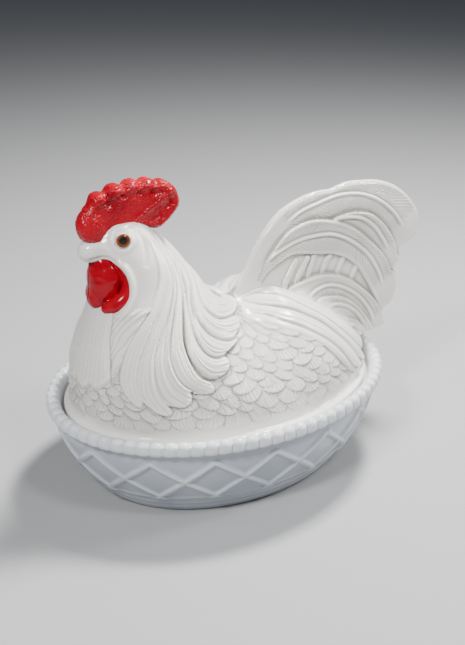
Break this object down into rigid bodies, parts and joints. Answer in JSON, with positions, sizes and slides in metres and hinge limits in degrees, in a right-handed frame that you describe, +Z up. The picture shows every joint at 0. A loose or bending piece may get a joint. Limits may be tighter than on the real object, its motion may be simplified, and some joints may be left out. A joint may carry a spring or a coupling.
{
  "type": "covered dish",
  "caption": "Oval milk-glass dish with a beaded rim and a lift-off lid in the form of a seated rooster with red comb and wattles.",
  "frame": {"origin": "centre of the flat foot on the standing surface", "axes": "+Z up; the rooster's head looks along -X and its tail points along +X; the object mirrors across Y = 0"},
  "size_m": [0.2385, 0.1558, 0.175],
  "materials": {
    "milk_glass": "glossy opal white pressed glass, slightly translucent",
    "red_enamel": "glossy red enamel painted on milk glass",
    "clear_glass": "polished clear glass dome",
    "amber_glass": "amber brown glass",
    "black_glass": "polished black glass",
    "cement": "matt white setting cement"
  },
  "bodies": {
    "dish": {"nest_dish": "milk_glass"},
    "lid": {"rooster_lid": "milk_glass", "comb": "red_enamel", "wattle_left": "red_enamel", "wattle_right": "red_enamel", "eye_left_glass": "clear_glass", "eye_left_iris": "amber_glass", "eye_left_pupil": "black_glass", "eye_left_cement": "cement", "eye_right_glass": "clear_glass", "eye_right_iris": "amber_glass", "eye_right_pupil": "black_glass", "eye_right_cement": "cement"}
  },
  "joints": [
    {"name": "lid_lift", "type": "slide", "parent": "dish", "child": "lid", "axis": [0, 0, 1], "range_m": [0, 0.12]}
  ]
}
